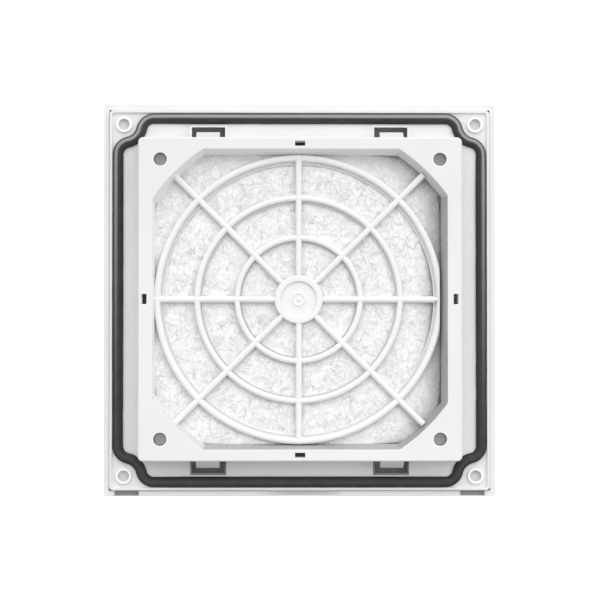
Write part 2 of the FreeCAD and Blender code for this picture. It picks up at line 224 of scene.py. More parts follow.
def makeWallShadingMask():
    # On the walls of the opening, the facing direction times the weights, from 0 to 1. 0 elsewhere. It
    # places painted light and shade on the walls.
    tree, inside, outside = newGroup(
        "wallShadingMask",
        [
            ("Half Width", "NodeSocketFloat", 0.057),
            ("Low", "NodeSocketFloat", 0.0059),
            ("High", "NodeSocketFloat", 0.0128),
            ("Weights", "NodeSocketVector", (0.5, 0.0, 0.8)),
        ],
        [("Mask", "NodeSocketFloat")],
    )
    link = tree.links.new
    where = addNode(tree, "ShaderNodeTexCoord", (-900, -250))
    spread = addNode(tree, "ShaderNodeVectorMath", (-700, -200), operation="ABSOLUTE")
    parts = addNode(tree, "ShaderNodeSeparateXYZ", (-500, -200))
    facing = addNode(tree, "ShaderNodeNewGeometry", (-700, -500))
    toned = addNode(tree, "ShaderNodeVectorMath", (-500, -450), operation="DOT_PRODUCT")
    wide = addNode(tree, "ShaderNodeMath", (-300, 100), operation="LESS_THAN")
    tall = addNode(tree, "ShaderNodeMath", (-300, -50), operation="LESS_THAN")
    above = addNode(tree, "ShaderNodeMath", (-300, -200), operation="GREATER_THAN")
    below = addNode(tree, "ShaderNodeMath", (-300, -350), operation="LESS_THAN")
    square = addNode(tree, "ShaderNodeMath", (-100, 50), operation="MULTIPLY")
    band = addNode(tree, "ShaderNodeMath", (-100, -250), operation="MULTIPLY")
    zone = addNode(tree, "ShaderNodeMath", (100, -100), operation="MULTIPLY")
    mask = addNode(tree, "ShaderNodeMath", (300, -100), operation="MULTIPLY", use_clamp=True)
    link(where.outputs["Object"], spread.inputs[0])
    link(spread.outputs["Vector"], parts.inputs[0])
    link(facing.outputs["Normal"], toned.inputs[0])
    link(inside.outputs["Weights"], toned.inputs[1])
    for part, limit, node in (
        ("X", "Half Width", wide), ("Z", "Half Width", tall), ("Y", "Low", above), ("Y", "High", below),
    ):
        link(parts.outputs[part], node.inputs[0])
        link(inside.outputs[limit], node.inputs[1])
    link(wide.outputs[0], square.inputs[0])
    link(tall.outputs[0], square.inputs[1])
    link(above.outputs[0], band.inputs[0])
    link(below.outputs[0], band.inputs[1])
    link(square.outputs[0], zone.inputs[0])
    link(band.outputs[0], zone.inputs[1])
    link(zone.outputs[0], mask.inputs[0])
    link(toned.outputs["Value"], mask.inputs[1])
    link(mask.outputs[0], outside.inputs["Mask"])
    return tree


def makeRingShadingMask():
    # 1 in a ring about four places that mirror each other in X and Z, and near one height along Y. It
    # places painted shade and painted highlights.
    tree, inside, outside = newGroup(
        "ringShadingMask",
        [
            ("Place", "NodeSocketVector", (0.05, 0.0, 0.05)),
            ("Radius", "NodeSocketFloat", 0.002),
            ("Radius Reach", "NodeSocketFloat", 0.0005),
            ("Height", "NodeSocketFloat", 0.0),
            ("Height Reach", "NodeSocketFloat", 0.001),
        ],
        [("Mask", "NodeSocketFloat")],
    )
    link = tree.links.new
    where = addNode(tree, "ShaderNodeTexCoord", (-900, -250))
    mirrored = addNode(tree, "ShaderNodeVectorMath", (-700, -100), operation="ABSOLUTE")
    flat = addNode(tree, "ShaderNodeVectorMath", (-500, -100), operation="MULTIPLY")
    flat.inputs[1].default_value = (1, 0, 1)
    away = addNode(tree, "ShaderNodeVectorMath", (-300, 0), operation="DISTANCE")
    parts = addNode(tree, "ShaderNodeSeparateXYZ", (-700, -350))
    around = addNode(tree, "ShaderNodeMath", (-100, 0), operation="COMPARE")
    level = addNode(tree, "ShaderNodeMath", (-100, -300), operation="COMPARE")
    mask = addNode(tree, "ShaderNodeMath", (200, -100), operation="MULTIPLY")
    link(where.outputs["Object"], mirrored.inputs[0])
    link(where.outputs["Object"], parts.inputs[0])
    link(mirrored.outputs["Vector"], flat.inputs[0])
    link(flat.outputs["Vector"], away.inputs[0])
    link(inside.outputs["Place"], away.inputs[1])
    link(away.outputs["Value"], around.inputs[0])
    link(inside.outputs["Radius"], around.inputs[1])
    link(inside.outputs["Radius Reach"], around.inputs[2])
    link(parts.outputs["Y"], level.inputs[0])
    link(inside.outputs["Height"], level.inputs[1])
    link(inside.outputs["Height Reach"], level.inputs[2])
    link(around.outputs[0], mask.inputs[0])
    link(level.outputs[0], mask.inputs[1])
    link(mask.outputs[0], outside.inputs["Mask"])
    return tree


def makeBoxShadingMask():
    # 1 inside a box and its mirror image in X. It places painted shade and painted light.
    tree, inside, outside = newGroup(
        "boxShadingMask",
        [
            ("Middle", "NodeSocketVector", (0.0, 0.0, 0.0)),
            ("Half Size", "NodeSocketVector", (0.01, 0.01, 0.01)),
        ],
        [("Mask", "NodeSocketFloat")],
    )
    link = tree.links.new
    where = addNode(tree, "ShaderNodeTexCoord", (-900, -250))
    mirrored = addNode(tree, "ShaderNodeVectorMath", (-750, 0), operation="MULTIPLY")
    mirrored.inputs[1].default_value = (1, 0, 0)
    absolute = addNode(tree, "ShaderNodeVectorMath", (-600, 0), operation="ABSOLUTE")
    rest = addNode(tree, "ShaderNodeVectorMath", (-600, -250), operation="MULTIPLY")
    rest.inputs[1].default_value = (0, 1, 1)
    joined = addNode(tree, "ShaderNodeVectorMath", (-450, -100), operation="ADD")
    offset = addNode(tree, "ShaderNodeVectorMath", (-300, 0), operation="SUBTRACT")
    spread = addNode(tree, "ShaderNodeVectorMath", (-150, 0), operation="ABSOLUTE")
    share = addNode(tree, "ShaderNodeVectorMath", (0, 0), operation="DIVIDE")
    parts = addNode(tree, "ShaderNodeSeparateXYZ", (100, 0))
    first = addNode(tree, "ShaderNodeMath", (200, 0), operation="MAXIMUM")
    second = addNode(tree, "ShaderNodeMath", (300, -100), operation="MAXIMUM")
    mask = addNode(tree, "ShaderNodeMath", (450, 0), operation="LESS_THAN")
    mask.inputs[1].default_value = 1.0
    link(where.outputs["Object"], mirrored.inputs[0])
    link(where.outputs["Object"], rest.inputs[0])
    link(mirrored.outputs["Vector"], absolute.inputs[0])
    link(absolute.outputs["Vector"], joined.inputs[0])
    link(rest.outputs["Vector"], joined.inputs[1])
    link(joined.outputs["Vector"], offset.inputs[0])
    link(inside.outputs["Middle"], offset.inputs[1])
    link(offset.outputs["Vector"], spread.inputs[0])
    link(spread.outputs["Vector"], share.inputs[0])
    link(inside.outputs["Half Size"], share.inputs[1])
    link(share.outputs["Vector"], parts.inputs[0])
    link(parts.outputs["X"], first.inputs[0])
    link(parts.outputs["Y"], first.inputs[1])
    link(first.outputs[0], second.inputs[0])
    link(parts.outputs["Z"], second.inputs[1])
    link(second.outputs[0], mask.inputs[0])
    link(mask.outputs[0], outside.inputs["Mask"])
    return tree


softEdge = makeSoftEdge()
ringShadingMask = makeRingShadingMask()
boxShadingMask = makeBoxShadingMask()
wallShadingMask = makeWallShadingMask()
fineGrain = makeFineGrain()
cloudTone = makeCloudTone()
print("shader groups ready")


# Materials

def newMaterial(name):
    material = bpy.data.materials.new(name)
    material.use_nodes = True
    tree = material.node_tree
    shader = next(node for node in tree.nodes if node.type == "BSDF_PRINCIPLED")
    shader.location = (500, 0)
    return material, tree, shader


def cloudColour(tree, look):
    tone = placeGroup(tree, cloudTone, (-700, 300), {
        "Light Tone": look["lightTone"], "Dark Tone": look["darkTone"], "Cloud Scale": look["cloudScale"],
    })
    return tone.outputs["Color"]


def grainSurface(tree, shader, look):
    # The grain varies the roughness and dents the surface.
    link = tree.links.new
    grain = placeGroup(tree, fineGrain, (-700, -300), {
        "Grain Scale": look["grainScale"],
        "Grain Share": look["grainShare"],
        "Wave Scale": look["waveScale"],
    })
    rough = addNode(tree, "ShaderNodeMapRange", (-200, 0))
    rough.inputs["To Min"].default_value, rough.inputs["To Max"].default_value = look["roughness"]
    bump = addNode(tree, "ShaderNodeBump", (100, -300))
    bump.inputs["Strength"].default_value = 1.0
    bump.inputs["Distance"].default_value = look["grainDepth"] * mm
    link(grain.outputs["Speckle"], rough.inputs["Value"])
    link(rough.outputs["Result"], shader.inputs["Roughness"])
    link(grain.outputs["Height"], bump.inputs["Height"])
    link(bump.outputs["Normal"], shader.inputs["Normal"])
    shader.inputs["Specular IOR Level"].default_value = look["specular"]
    return bump


def whiteMoulding(name, look):
    material, tree, shader = newMaterial(name)
    bump = grainSurface(tree, shader, look)
    colour = cloudColour(tree, look)
    # Painted shade and painted light on the walls of the opening, by the way each wall faces.
    for number, (paintedWallShading, weights) in enumerate(look["walls"]):
        walls = placeGroup(tree, wallShadingMask, (-700, 550 + 250 * number), {"Weights": weights})
        colour = paintOver(tree, colour, paintedWallShading, walls.outputs["Mask"], (-350, 450 + 250 * number))
    # Painted shade and painted highlights in rings about the fan holes and the dimples.
    for number, (paintedRingShading, place, radii, heights) in enumerate(look["rings"]):
        ring = placeGroup(tree, ringShadingMask, (-1000, 300 - 300 * number), {
            "Place": place,
            "Radius": (radii[0] + radii[1]) / 2 * mm,
            "Radius Reach": (radii[1] - radii[0]) / 2 * mm,
            "Height": (heights[0] + heights[1]) / 2 * mm,
            "Height Reach": (heights[1] - heights[0]) / 2 * mm,
        })
        colour = paintOver(tree, colour, paintedRingShading, ring.outputs["Mask"], (-350, 950 + 250 * number))
    # Painted shade and painted light inside boxes.
    for number, (paintedBoxShading, middle, halfSize) in enumerate(look["boxes"]):
        box = placeGroup(tree, boxShadingMask, (-1300, 300 - 300 * number), {
            "Middle": middle, "Half Size": halfSize,
        })
        colour = paintOver(tree, colour, paintedBoxShading, box.outputs["Mask"], (-350, 1950 + 250 * number))
    # Painted light on the edges: a lighter tone (a painted highlight) on the frame, a darker one (painted
    # shade) on the cover.
    if look["edgeRadius"]:
        edge = placeGroup(tree, softEdge, (-700, 0), {
            "Radius": look["edgeRadius"] * mm, "Gain": look["edgeGain"],
        })
        colour = paintOver(tree, colour, look["paintedEdgeShading"], edge.outputs["Edge"], (-100, 250))
        tree.links.new(edge.outputs["Normal"], bump.inputs["Normal"])
    tree.links.new(colour, shader.inputs["Base Color"])
    return material


frameLook = {
    "lightTone": (0.80, 0.80, 0.80, 1),
    "darkTone": (0.765, 0.765, 0.77, 1),
    # painted highlight on the edges
    "paintedEdgeShading": (0.97, 0.97, 0.97, 1),
    "cloudScale": 25.0,
    "edgeRadius": 0.40,
    "edgeGain": 8.0,
    "grainScale": 2600.0,
    "grainShare": 0.25,
    "waveScale": 60.0,
    "grainDepth": 0.02,
    "roughness": (0.36, 0.50),
    "specular": 0.45,
    "walls": (
        # painted shade on walls facing +X and up, painted light on walls facing -X and down: tone, and the
        # weights of the facing direction
        ((0.36, 0.36, 0.365, 1), (0.85, 0.0, 0.90)),
        ((0.95, 0.95, 0.955, 1), (-1.0, 0.0, -1.0)),
    ),
    "rings": (
        # tone, place in metres, then radii and heights in millimetres: painted shade inside the fan holes,
        # painted highlights on their rims and on the dimples' rings, and painted shade on the dimples'
        # floors
        ((0.55, 0.55, 0.555, 1), (0.0524, 0.0, 0.0524), (2.05, 2.56), (6.5, 12.8)),
        ((0.97, 0.97, 0.97, 1), (0.0524, 0.0, 0.0524), (2.50, 2.86), (12.8, 13.2)),
        ((0.97, 0.97, 0.97, 1), (0.0666, 0.0, 0.0666), (2.15, 2.92), (-1.2, 0.2)),
        ((0.66, 0.66, 0.665, 1), (0.0666, 0.0, 0.0666), (0.0, 2.15), (-4.0, -1.2)),
    ),
    "boxes": (
        # tone, middle and half size in metres: painted shade at the edges of the lower windows beside the
        # tongues, and painted light at those of the upper ones
        ((0.12, 0.12, 0.122, 1), (0.0346, -0.0021, -0.0632), (0.0068, 0.0013, 0.0030)),
        ((0.96, 0.96, 0.965, 1), (0.0346, -0.0021, 0.0632), (0.0068, 0.0013, 0.0030)),
    ),
}
coverLook = dict(
    frameLook,
    waveScale=45.0,
    grainScale=2200.0,
    # painted shade on the edges
    paintedEdgeShading=(0.70, 0.70, 0.705, 1),
    walls=(),
    rings=(),
    boxes=(
        # the floors of the drain notches, which lie in the shade of the flange
        ((0.34, 0.34, 0.345, 1), (0.0652, -0.0042, -0.0732), (0.0047, 0.0003, 0.0014)),
    ),
)
guardLook = dict(
    coverLook,
    boxes=(),
    lightTone=(0.84, 0.84, 0.84, 1),
    darkTone=(0.82, 0.82, 0.825, 1),
    edgeRadius=0,
    grainDepth=0.012,
)
framePlastic = whiteMoulding("framePlastic", frameLook)
guardPlastic = whiteMoulding("guardPlastic", guardLook)
coverPlastic = whiteMoulding("coverPlastic", coverLook)


foamLook = {
    "lightTone": (0.030, 0.031, 0.032, 1),
    "darkTone": (0.020, 0.021, 0.022, 1),
    "cloudScale": 160.0,
    "grainScale": 1900.0,
    "grainShare": 0.45,
    "waveScale": 260.0,
    "grainDepth": 0.05,
    # painted highlight along the crest
    "crestHighlightTone": (0.31, 0.311, 0.313, 1),
    "crestHighlightShare": (0.03, 1.0),
    "crestHighlightFall": (-0.054, 0.075),
    "crestHighlightPlace": 0.70,
    "crestHighlightReach": 0.26,
    "roughness": (0.34, 0.52),
    "specular": 0.38,
}


def foamSkin(look):
    # Dark foam with closed cells under a thin skin. A pale tone along the crest is a painted highlight,
    # strongest at the top and faint at the bottom.
    material, tree, shader = newMaterial("gasketFoam")
    link = tree.links.new
    grainSurface(tree, shader, look)
    section = addNode(tree, "ShaderNodeUVMap", (-1100, 600), uv_map="places")
    across = addNode(tree, "ShaderNodeSeparateXYZ", (-900, 600))
    off = addNode(tree, "ShaderNodeMath", (-700, 600), operation="SUBTRACT")
    off.inputs[1].default_value = look["crestHighlightPlace"]
    apart = addNode(tree, "ShaderNodeMath", (-500, 600), operation="ABSOLUTE")
    ridge = addNode(tree, "ShaderNodeMapRange", (-300, 600), interpolation_type="SMOOTHSTEP")
    ridge.inputs["From Min"].default_value = look["crestHighlightReach"]
    ridge.inputs["From Max"].default_value = 0.0
    where = addNode(tree, "ShaderNodeTexCoord", (-1100, 900))
    upright = addNode(tree, "ShaderNodeSeparateXYZ", (-900, 900))
    fall = addNode(tree, "ShaderNodeMapRange", (-500, 900), interpolation_type="SMOOTHSTEP")
    fall.inputs["From Min"].default_value, fall.inputs["From Max"].default_value = look["crestHighlightFall"]
    fall.inputs["To Min"].default_value, fall.inputs["To Max"].default_value = look["crestHighlightShare"]
    highlightMask = addNode(tree, "ShaderNodeMath", (-150, 700), operation="MULTIPLY")
    link(section.outputs["UV"], across.inputs[0])
    link(across.outputs["X"], off.inputs[0])
    link(off.outputs[0], apart.inputs[0])
    link(apart.outputs[0], ridge.inputs["Value"])
    link(where.outputs["Object"], upright.inputs[0])
    link(upright.outputs["Z"], fall.inputs["Value"])
    link(ridge.outputs["Result"], highlightMask.inputs[0])
    link(fall.outputs["Result"], highlightMask.inputs[1])
    highlighted = paintOver(tree, cloudColour(tree, look), look["crestHighlightTone"], highlightMask.outputs[0], (0, 400))
    link(highlighted, shader.inputs["Base Color"])
    return material


fleeceLook = {
    "lightTone": (0.97, 0.97, 0.97, 1),
    "darkTone": (0.91, 0.91, 0.912, 1),
    "cloudScale": 120.0,
    "fibreScale": 2500.0,
    "fibreStretch": 8.0,
    "fibreTurns": (15.0, 52.0, 97.0, 140.0),
    "fibreDepth": 0.035,
    "gapTone": (0.78, 0.78, 0.783, 1),
    "gapRange": (0.46, 0.70),
    "poreScale": 1300.0,
    "poreRange": (0.24, 0.40),
    "poreShare": 0.42,
    # painted shade towards some edges and corners
    "paintedEdgeShading": (0.52, 0.52, 0.525, 1),
    "roughness": 0.95,
    "specular": 0.2,
    "sheen": 0.3,
    "paintedShadeZones": (
        # weights of X, Y and Z, and the sums in metres between which the painted shade sets in
        ((-1.0, 0.0, 0.0), (0.0420, 0.0530)),
        ((-1.0, 0.0, 1.0), (0.0720, 0.0960)),
        ((0.0, 0.0, 1.0), (0.0470, 0.0580)),
        ((1.0, 0.0, 1.0), (0.0760, 0.1200)),
        ((1.0, 0.0, -1.0), (0.0780, 0.1300)),
    ),
}


def fleeceWeb(look):
    # Laid fibres: layers of stretched noise, each turned its own way about Y. The highest layer shows,
    # and where all are low the web opens to a darker gap. Another noise adds the pores. Painted shade
    # makes the fleece greyer towards some of its edges and corners.
    material, tree, shader = newMaterial("matFleece")
    link = tree.links.new
    where = addNode(tree, "ShaderNodeTexCoord", (-1300, 0))
    laid = None
    for layer, turn in enumerate(look["fibreTurns"]):
        turned = addNode(tree, "ShaderNodeMapping", (-1100, -250 * layer), vector_type="TEXTURE")
        turned.inputs["Rotation"].default_value = (0, math.radians(turn), 0)
        turned.inputs["Scale"].default_value = (look["fibreStretch"], 1, 1)
        turned.inputs["Location"].default_value = (0.013 * layer, 0, 0.007 * layer)
        web = addNode(tree, "ShaderNodeTexNoise", (-850, -250 * layer))
        web.inputs["Scale"].default_value = look["fibreScale"] * (1 + 0.12 * layer)
        web.inputs["Detail"].default_value = 0.0
        link(where.outputs["Object"], turned.inputs["Vector"])
        link(turned.outputs["Vector"], web.inputs["Vector"])
        if laid is None:
            laid = web.outputs["Fac"]
        else:
            upper = addNode(tree, "ShaderNodeMath", (-600, -250 * layer), operation="MAXIMUM")
            link(laid, upper.inputs[0])
            link(web.outputs["Fac"], upper.inputs[1])
            laid = upper.outputs[0]
    streak = addNode(tree, "ShaderNodeMapRange", (-350, -100))
    streak.inputs["From Min"].default_value, streak.inputs["From Max"].default_value = look["gapRange"]
    pores = addNode(tree, "ShaderNodeTexNoise", (-850, 250))
    pores.inputs["Scale"].default_value = look["poreScale"]
    pores.inputs["Detail"].default_value = 0.0
    openness = addNode(tree, "ShaderNodeMapRange", (-600, 250))
    openness.inputs["From Min"].default_value, openness.inputs["From Max"].default_value = look["poreRange"]
    openness.inputs["To Min"].default_value = 1 - look["poreShare"]
    fill = addNode(tree, "ShaderNodeMath", (-150, 0), operation="MULTIPLY")
    mix = addNode(tree, "ShaderNodeMix", (50, 200), data_type="RGBA")
    mix.inputs["A"].default_value = look["gapTone"]
    bump = addNode(tree, "ShaderNodeBump", (150, -250))
    bump.inputs["Strength"].default_value = 1.0
    bump.inputs["Distance"].default_value = look["fibreDepth"] * mm
    link(where.outputs["Object"], pores.inputs["Vector"])
    link(pores.outputs["Fac"], openness.inputs["Value"])
    link(laid, streak.inputs["Value"])
    link(streak.outputs["Result"], fill.inputs[0])
    link(openness.outputs["Result"], fill.inputs[1])
    link(fill.outputs[0], mix.inputs["Factor"])
    link(cloudColour(tree, look), mix.inputs["B"])
    colour = mix.outputs["Result"]
    # Painted shade towards some edges and corners of the fleece.
    for number, (weights, reach) in enumerate(look["paintedShadeZones"]):
        along = addNode(tree, "ShaderNodeVectorMath", (50, 450 + 200 * number), operation="DOT_PRODUCT")
        along.inputs[1].default_value = weights
        zone = addNode(
            tree, "ShaderNodeMapRange", (250, 450 + 200 * number), interpolation_type="SMOOTHSTEP",
        )
        zone.inputs["From Min"].default_value, zone.inputs["From Max"].default_value = reach
        link(where.outputs["Object"], along.inputs[0])
        link(along.outputs["Value"], zone.inputs["Value"])
        place = (450, 450 + 200 * number)
        colour = paintOver(tree, colour, look["paintedEdgeShading"], zone.outputs["Result"], place, "DARKEN")
    link(colour, shader.inputs["Base Color"])
    link(fill.outputs[0], bump.inputs["Height"])
    link(bump.outputs["Normal"], shader.inputs["Normal"])
    shader.inputs["Roughness"].default_value = look["roughness"]
    shader.inputs["Specular IOR Level"].default_value = look["specular"]
    shader.inputs["Sheen Weight"].default_value = look["sheen"]
    return material


strandLook = {
    "lightTone": (0.94, 0.94, 0.94, 1),
    "darkTone": (0.80, 0.80, 0.81, 1),
    "cloudScale": 400.0,
    "roughness": 0.6,
    "specular": 0.3,
}


def fibreStrand(look):
    material, tree, shader = newMaterial("fibreStrand")
    tree.links.new(cloudColour(tree, look), shader.inputs["Base Color"])
    shader.inputs["Roughness"].default_value = look["roughness"]
    shader.inputs["Specular IOR Level"].default_value = look["specular"]
    return material


gasketFoam = foamSkin(foamLook)
matFleece = fleeceWeb(fleeceLook)
strandMaterial = fibreStrand(strandLook)
print("materials ready")


# Frame and cover keep their solids

def dressNode(name, material):
    mesh = cadNodes[name].data
    mesh.materials.clear()
    mesh.materials.append(material)


dressNode("base_frame", framePlastic)
dressNode("front_cover", coverPlastic)
print("frame and cover dressed")


# Finger guard

guardSizes = {
    "shift": 0.5,
    "end": -52.5,
    "top": 9.0,
    "ringTop": 8.94,
    "low": 6.0,
    "crownDrop": 1.1,
    "ringRadii": (23.1, 38.1, 53.1),
    "ringWidths": (2.3, 2.3, 2.5),
    "ringFeet": (0.45, 0.75, 1.1),
    # the rings' channel and lip: share of the foot, and height above the low face
    "lipPlaces": (0.04, 0.14, 0.34, 0.54, 0.62, 0.68, 0.76, 0.86, 0.96, 1.0, 1.0),
    "lipHeights": (1.0, 0.6, 0.45, 0.5, 0.85, 1.15, 1.3, 1.3, 1.15, 0.8, 0.0),
    "spokeWidth": 2.4,
    "spokeFlare": 1.06,
    "spokeStart": 7.9,
    "diagonalStart": 8.8,
    "diagonalNarrow": 0.55,
    "reachAxis": (54.6, 54.5, 52.3, 54.3),
    "reachCorner": (65.5, 66.3, 66.3, 65.5),
    "pad": 2.6,
    "padRise": 0.25,
    "taper": 1.7,
    "hubRadius": 9.15,
    "recessRadius": 6.7,
    "recess": 0.9,
    "hubEdge": 0.6,
    "recessEdge": 0.25,
    "markRing": (2.75, 1.75),
    "markRingRise": 0.28,
    "markDot": 0.85,
    "markDotRise": 0.35,
}


def crownLine(halfWidth, top, drop, count, power=2.3):
    # Half of a superellipse from the outer side over the top to the inner side:
    # across = halfWidth * cos^(2/power), height = top - drop + drop * sin^(2/power).
    turn = np.linspace(0, np.pi, count)
    across = halfWidth * np.sign(np.cos(turn)) * np.abs(np.cos(turn)) ** (2 / power)
    height = top - drop + drop * np.abs(np.sin(turn)) ** (2 / power)
    return across, height


def revolve(radii, heights, shift, segments, end=None):
    # A profile turned about the Y axis through X = shift, and cut flat where X would pass the end.
    turn = np.linspace(0, 2 * np.pi, segments, endpoint=False)[:, None]
    x = shift + radii[None, :] * np.cos(turn)
    if end is not None:
        x = np.maximum(x, end)
    z = radii[None, :] * np.sin(turn)
    y = np.broadcast_to(heights[None, :], x.shape)
    return np.stack([x, y, z], axis=-1)


def guardRing(radius, width, foot, sizes):
    # The crown, then on the inner side a shallow channel and a narrow flat lip.
    across, height = crownLine(width / 2, sizes["ringTop"], sizes["crownDrop"], 17)
    low = sizes["low"]
    inner = radius - width / 2
    radii = np.concatenate([
        [radius + width / 2], radius + across, inner - foot * np.array(sizes["lipPlaces"]),
    ])
    heights = np.concatenate([[low], height, low + np.array(sizes["lipHeights"])])
    points = revolve(radii, heights, sizes["shift"], 288, sizes["end"])
    return gridPart(points, closedRows=True, closedColumns=True, flip=True)


def guardSpoke(angle, sizes):
    # The crown is carried outwards. A straight spoke's width follows the root of the distance to
    # either end, which gives it the shape of a boat. A diagonal spoke narrows at the hub only and has
    # a raised pad at its outer end.
    diagonal = angle % 90 != 0
    reach = (sizes["reachCorner"] if diagonal else sizes["reachAxis"])[angle // 90]
    start = sizes["diagonalStart"] if diagonal else sizes["spokeStart"]
    along = np.unique(np.concatenate([
        np.linspace(start, start + sizes["taper"], 14),
        np.linspace(start + sizes["taper"], reach - sizes["taper"], 40),
        np.linspace(reach - sizes["taper"], reach, 14),
    ]))
    inner = np.clip((along - start) / sizes["taper"], 0.0, 1.0)
    outer = np.clip((reach - along) / sizes["taper"], 0.0, 1.0)
    if diagonal:
        narrow = sizes["diagonalNarrow"] + (1 - sizes["diagonalNarrow"]) * np.sqrt(inner)
        rise = np.where(along > reach - sizes["pad"], sizes["padRise"], 0.0)
    else:
        narrow = np.sqrt(np.clip(np.minimum(inner, outer), 0.002, 1.0))
        rise = np.zeros_like(along)
    across, height = crownLine(sizes["spokeWidth"] / 2, sizes["top"], sizes["crownDrop"], 15)
    across = np.concatenate([[across[0] * sizes["spokeFlare"]], across, [across[-1] * sizes["spokeFlare"]]])
    height = np.concatenate([[sizes["low"]], height, [sizes["low"]]])
    side = across[None, :] * narrow[:, None]
    y = height[None, :] + rise[:, None] * (height[None, :] > sizes["low"])
    turn = math.radians(angle)
    x = sizes["shift"] + along[:, None] * math.cos(turn) - side * math.sin(turn)
    z = along[:, None] * math.sin(turn) + side * math.cos(turn)
    x = np.maximum(x, sizes["end"])
    points = np.stack([x, y, np.broadcast_to(z, x.shape)], axis=-1)
    body = gridPart(points, closedColumns=True, flip=True)
    caps = []
    for row, flip in ((0, True), (-1, False)):
        edge = points[row]
        middle = np.broadcast_to(edge.mean(axis=0), edge.shape)
        caps.append(gridPart(np.stack([edge, middle]), closedColumns=True, flip=not flip))
    return [body] + caps


def guardHub(sizes):
    # Disc with a rounded rim, a recess, and the small ring and dot left by the moulding.
    top = sizes["top"]
    low = sizes["low"]
    edge = sizes["hubEdge"]
    floor = top - sizes["recess"]
    bend = np.linspace(0, np.pi / 2, 7)
    rimRadii = sizes["hubRadius"] - edge + edge * np.cos(bend)
    rimHeights = top - edge + edge * np.sin(bend)
    recessRadius = sizes["recessRadius"]
    recessEdge = sizes["recessEdge"]
    lip = np.linspace(np.pi / 2, np.pi, 5)
    lipRadii = recessRadius + recessEdge + recessEdge * np.cos(lip)
    lipHeights = top - recessEdge + recessEdge * np.sin(lip)
    outer, inner = sizes["markRing"]
    mark = np.linspace(outer, inner, 11)
    markHeights = floor + sizes["markRingRise"] * np.sin(np.pi * (outer - mark)) ** 2
    dot = np.linspace(sizes["markDot"], 0.001, 8)
    dotRise = sizes["markDotRise"] * np.sqrt(np.clip(1 - (dot / sizes["markDot"]) ** 2, 0, 1))
    radii = np.concatenate([
        [0.001, sizes["hubRadius"]], rimRadii, lipRadii,
        [recessRadius, recessRadius - recessEdge, 4.5], mark, [1.0], dot,
    ])
    heights = np.concatenate([
        [low, low], rimHeights, lipHeights,
        [floor - 0.05, floor, floor], markHeights, [floor + 0.05], floor + 0.05 + dotRise,
    ])
    return gridPart(revolve(radii, heights, sizes["shift"], 128), closedRows=True)


guardParts = [guardRing(*ring, guardSizes) for ring in zip(
    guardSizes["ringRadii"], guardSizes["ringWidths"], guardSizes["ringFeet"],
)]
for spokeAngle in range(0, 360, 45):
    guardParts += guardSpoke(spokeAngle, guardSizes)
guardParts.append(guardHub(guardSizes))
guard = meshPiece("fingerGuard", guardParts, guardPlastic, 40)
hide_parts("finger_guard")
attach(guard, "frame")
print("finger guard ready")


# Gasket

beadSizes = {
    "half": 68.8,
    "boss": 66.6,
    "turn": 4.8,
    "bossTurn": 6.93,
    "width": 4.1,
    "floor": -0.9,
    "height": 2.1,
    "unevenness": 0.03,
    "foot": 0.3,
    "lean": 0.28,
}


def beadRoute(sizes):
    # A quarter of the route: an arc away from the straight, an arc round the screw dimple, the
    # mirrored first arc and a straight. The other quarters are turned copies.
    half, boss, first, second = (sizes[key] for key in ("half", "boss", "turn", "bossTurn"))
    turn = math.acos((first - (half - boss)) / (first + second))
    startX = boss - (first + second) * math.sin(turn)
    bend = np.linspace(0, turn, 24, endpoint=False)
    leave = np.stack([startX + first * np.sin(bend), half - first + first * np.cos(bend)], axis=-1)
    begin = math.pi + math.pi / 2 - turn
    around = np.linspace(begin, math.pi + turn, 24, endpoint=False)
    passing = np.stack([boss + second * np.cos(around), boss + second * np.sin(around)], axis=-1)
    back = leave[::-1, ::-1]
    straight = np.linspace(startX, -startX, 100, endpoint=False)
    side = np.stack([np.full_like(straight, half), straight], axis=-1)
    back = np.concatenate([back, [[half, startX]]])[:-1]
    quarter = np.concatenate([leave, passing, back, side])
    route = []
    for index in range(4):
        angle = -math.pi / 2 * index
        turned = np.array([[math.cos(angle), -math.sin(angle)], [math.sin(angle), math.cos(angle)]])
        route.append(quarter @ turned.T)
    return np.concatenate(route)


def gasketBead(sizes):
    # The section is carried along the route, square to it, with a slight unevenness. It is a foot and
    # two quarter ellipses that meet at the crest, which leans outwards: rise = sqrt(1 - away^2).
    route = beadRoute(sizes)
    ahead = np.roll(route, -1, axis=0) - np.roll(route, 1, axis=0)
    ahead /= np.linalg.norm(ahead, axis=1, keepdims=True)
    outward = np.stack([-ahead[:, 1], ahead[:, 0]], axis=-1)
    uneven = 1 + sizes["unevenness"] * waveField(route[:, 0], route[:, 1], 5, 24, 4.0, 40.0)
    across = np.cos(np.linspace(0, np.pi, 25))
    lean = sizes["lean"]
    away = (across - lean) / np.where(across > lean, 1 - lean, 1 + lean)
    rise = sizes["foot"] + (1 - sizes["foot"]) * np.sqrt(np.clip(1 - away ** 2, 0, 1))
    across = np.concatenate([[1.0], across, [-1.0]]) * sizes["width"] / 2
    rise = np.concatenate([[0.0], rise, [0.0]]) * sizes["height"] / (1 + sizes["unevenness"])
    width = across[None, :, None] * np.minimum(uneven, 1)[:, None, None]
    flat = route[:, None, :] + outward[:, None, :] * width
    height = sizes["floor"] + rise[None, :] * np.minimum(uneven, 1 + sizes["unevenness"])[:, None]
    points = np.stack([flat[..., 0], height, flat[..., 1]], axis=-1)
    share = np.broadcast_to((across / sizes["width"] + 0.5)[None, :], height.shape)
    along = np.broadcast_to(np.linspace(0, 1, len(route))[:, None], height.shape)
    places = np.stack([share, along], axis=-1).reshape(-1, 2)
    return gridPart(points, closedRows=True, closedColumns=True), places


beadPart, beadPlaces = gasketBead(beadSizes)
bead = meshPiece("gasketBead", [beadPart], gasketFoam, 60, beadPlaces)
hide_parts("gasket")
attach(bead, "frame")
print("gasket ready")


# Filter mat

